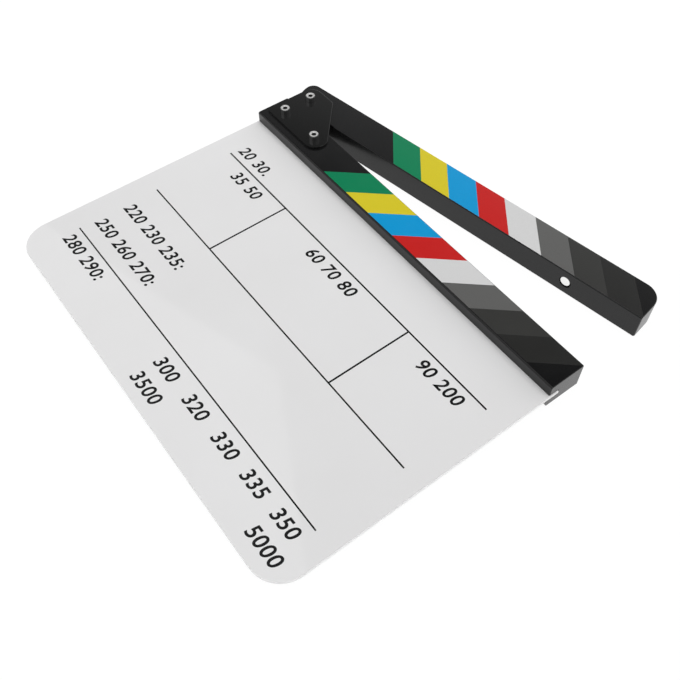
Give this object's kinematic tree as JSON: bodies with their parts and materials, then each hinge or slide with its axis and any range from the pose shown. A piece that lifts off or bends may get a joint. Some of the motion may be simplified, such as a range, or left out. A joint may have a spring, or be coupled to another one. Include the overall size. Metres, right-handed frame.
{
  "type": "clapperboard",
  "caption": "Film clapperboard: white slate board in a slotted striped stick, with a striped clapper stick that turns under a corner hinge plate and closes on magnets.",
  "frame": {"origin": "middle of the lower stick's underside, where the board rests when it lies on its back", "axes": "+X along the sticks from the hinge to their free ends, +Y from the slate board towards the clapper stick, +Z out of the printed face"},
  "size_m": [0.3011, 0.2934, 0.0248],
  "materials": {
    "board": "polished white acrylic",
    "stick": "satin black lacquer",
    "film": "printed film with slanted colour stripes",
    "plate": "gloss black paint",
    "screw": "bright plated steel",
    "insert": "turned brass",
    "washer": "natural nylon",
    "magnet": "nickel-plated magnet"
  },
  "bodies": {
    "slate": {"slate_board": "board", "lower_stick": "stick", "lower_stripe_film": "film", "hinge_plate": "plate", "fixing_screw_left": "screw", "fixing_screw_right": "screw", "fixing_insert_left": "insert", "fixing_insert_right": "insert", "lower_magnet": "magnet"},
    "clapper": {"upper_stick": "stick", "upper_stripe_film": "film", "pivot_screw": "screw", "pivot_insert": "insert", "friction_washer": "washer", "upper_magnet": "magnet"}
  },
  "joints": [
    {"name": "clapper_hinge", "type": "hinge", "parent": "slate", "child": "clapper", "pos_m": [-0.13525, 0.02405, 0], "axis": [0, 0, 1], "range_deg": [-10.38, 56]}
  ]
}
